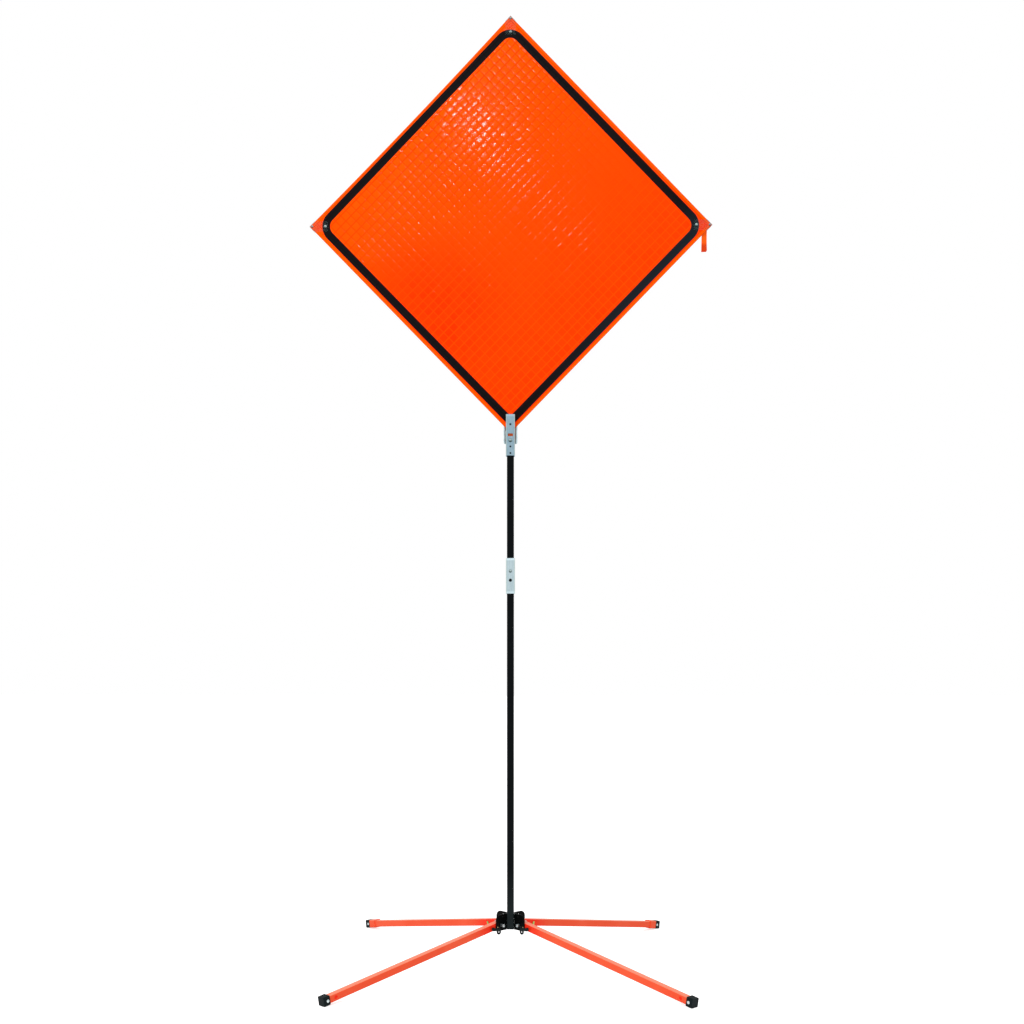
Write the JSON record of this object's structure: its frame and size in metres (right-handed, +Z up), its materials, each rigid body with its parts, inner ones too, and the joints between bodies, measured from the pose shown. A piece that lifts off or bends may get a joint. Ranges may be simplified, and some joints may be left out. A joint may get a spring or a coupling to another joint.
{
  "type": "roll-up road sign stand",
  "caption": "Folding X-footed stand with a square mast in two lengths, holding a blank orange diamond roll-up road sign on crossed ribs.",
  "frame": {"origin": "on the floor, under the mast's axis", "axes": "+Z up along the mast, -Y out of the sign's printed face, +X to the right seen from the front"},
  "size_m": [1.2822, 1.031, 3.0111],
  "materials": {
    "black_coat": "satin black powder coat",
    "orange_coat": "satin orange powder coat",
    "zinc": "bright zinc plate, blue-grey",
    "bright_zinc": "bright zinc plate",
    "yellow_zinc": "yellow-green passivated zinc",
    "brass": "plain brass",
    "rubber": "matt moulded rubber",
    "orange_vinyl": "fluorescent orange prismatic vinyl sheet",
    "glass_fibre": "orange pultruded glass fibre",
    "clear_plastic": "clear polycarbonate",
    "orange_web": "orange woven strap"
  },
  "bodies": {
    "stand": {"mast_lower": "black_coat", "hub_bracket_left": "black_coat", "hub_bracket_right": "black_coat", "hub_bolt_lower": "bright_zinc", "hub_bolt_upper": "bright_zinc", "front_left_lock_stud": "brass", "front_right_lock_stud": "brass", "rear_left_lock_stud": "brass", "rear_right_lock_stud": "brass"},
    "upper_mast": {"mast_upper": "black_coat", "mast_coupler": "zinc", "sign_post": "zinc", "post_rivet_upper": "bright_zinc", "post_rivet_lower": "bright_zinc", "rib_saddle": "zinc", "rib_stop": "bright_zinc", "bracket_bolt": "bright_zinc"},
    "snap_button": {"snap_button": "bright_zinc"},
    "clamp_pad": {"clamp_pad": "rubber"},
    "clamp_screw": {"clamp_screw": "bright_zinc", "clamp_handle": "bright_zinc"},
    "sign": {"sign_sheet": "orange_vinyl", "upright_rib": "glass_fibre", "cross_rib": "glass_fibre", "rib_bolt": "bright_zinc", "corner_pocket_top": "clear_plastic", "corner_pocket_left": "clear_plastic", "corner_pocket_right": "clear_plastic", "top_tip_rivet": "bright_zinc", "top_inner_rivet": "bright_zinc", "left_tip_rivet": "bright_zinc", "left_inner_rivet": "bright_zinc", "right_tip_rivet": "bright_zinc", "right_inner_rivet": "bright_zinc", "bottom_rivet": "bright_zinc", "tie_strap": "orange_web"},
    "front_left_leg": {"front_left_leg": "orange_coat", "front_left_foot_cap": "rubber", "front_left_foot_rivet": "bright_zinc", "front_left_pivot_bolt": "bright_zinc"},
    "front_left_lever": {"front_left_lock_lever": "black_coat", "front_left_lever_pin": "yellow_zinc"},
    "front_right_leg": {"front_right_leg": "orange_coat", "front_right_foot_cap": "rubber", "front_right_foot_rivet": "bright_zinc", "front_right_pivot_bolt": "bright_zinc"},
    "front_right_lever": {"front_right_lock_lever": "black_coat", "front_right_lever_pin": "yellow_zinc"},
    "rear_left_leg": {"rear_left_leg": "orange_coat", "rear_left_foot_cap": "rubber", "rear_left_foot_rivet": "bright_zinc", "rear_left_pivot_bolt": "bright_zinc"},
    "rear_left_lever": {"rear_left_lock_lever": "black_coat", "rear_left_lever_pin": "yellow_zinc"},
    "rear_right_leg": {"rear_right_leg": "orange_coat", "rear_right_foot_cap": "rubber", "rear_right_foot_rivet": "bright_zinc", "rear_right_pivot_bolt": "bright_zinc"},
    "rear_right_lever": {"rear_right_lock_lever": "black_coat", "rear_right_lever_pin": "yellow_zinc"}
  },
  "joints": [
    {"name": "front_left_leg_fold", "type": "hinge", "parent": "stand", "child": "front_left_leg", "pos_m": [-0.04019, -0.01877, 0.1272], "axis": [-0.7071, 0.7071, 0], "range_deg": [0, 99]},
    {"name": "front_left_lever_release", "type": "hinge", "parent": "front_left_leg", "child": "front_left_lever", "pos_m": [-0.06562, -0.04419, 0.1191], "axis": [-0.7071, 0.7071, 0], "range_deg": [0, 18], "stiffness_Nm_per_rad": 0.2, "springref_deg": -11.46},
    {"name": "front_right_leg_fold", "type": "hinge", "parent": "stand", "child": "front_right_leg", "pos_m": [0.04019, -0.01877, 0.1272], "axis": [-0.7071, -0.7071, 0], "range_deg": [0, 99]},
    {"name": "front_right_lever_release", "type": "hinge", "parent": "front_right_leg", "child": "front_right_lever", "pos_m": [0.06562, -0.04419, 0.1191], "axis": [-0.7071, -0.7071, 0], "range_deg": [0, 18], "stiffness_Nm_per_rad": 0.2, "springref_deg": -11.46},
    {"name": "rear_left_leg_fold", "type": "hinge", "parent": "stand", "child": "rear_left_leg", "pos_m": [-0.04019, 0.01877, 0.1272], "axis": [0.7071, 0.7071, 0], "range_deg": [0, 99]},
    {"name": "rear_left_lever_release", "type": "hinge", "parent": "rear_left_leg", "child": "rear_left_lever", "pos_m": [-0.06562, 0.04419, 0.1191], "axis": [0.7071, 0.7071, 0], "range_deg": [0, 18], "stiffness_Nm_per_rad": 0.2, "springref_deg": -11.46},
    {"name": "rear_right_leg_fold", "type": "hinge", "parent": "stand", "child": "rear_right_leg", "pos_m": [0.04019, 0.01877, 0.1272], "axis": [0.7071, -0.7071, 0], "range_deg": [0, 99]},
    {"name": "rear_right_lever_release", "type": "hinge", "parent": "rear_right_leg", "child": "rear_right_lever", "pos_m": [0.06562, 0.04419, 0.1191], "axis": [0.7071, -0.7071, 0], "range_deg": [0, 18], "stiffness_Nm_per_rad": 0.2, "springref_deg": -11.46},
    {"name": "upper_mast_lift", "type": "slide", "parent": "stand", "child": "upper_mast", "axis": [0, 0, 1], "range_m": [0, 0.06]},
    {"name": "snap_button_press", "type": "slide", "parent": "upper_mast", "child": "snap_button", "axis": [0, 1, 0], "range_m": [0, 0.0045], "stiffness_N_per_m": 500, "springref_m": -0.004},
    {"name": "clamp_travel", "type": "slide", "parent": "upper_mast", "child": "clamp_pad", "axis": [0, 1, 0], "range_m": [0, 0.00375]},
    {"name": "clamp_turn", "type": "hinge", "parent": "clamp_pad", "child": "clamp_screw", "pos_m": [0, 0, 1.7231], "axis": [0, 1, 0], "range_deg": [0, 1080]},
    {"name": "sign_lift", "type": "slide", "parent": "upper_mast", "child": "sign", "axis": [0, 0, 1], "range_m": [0, 0.09]}
  ],
  "couplings": [
    {"joint": "clamp_travel", "follows": "clamp_turn", "m_per_rad": 0.00019894}
  ]
}
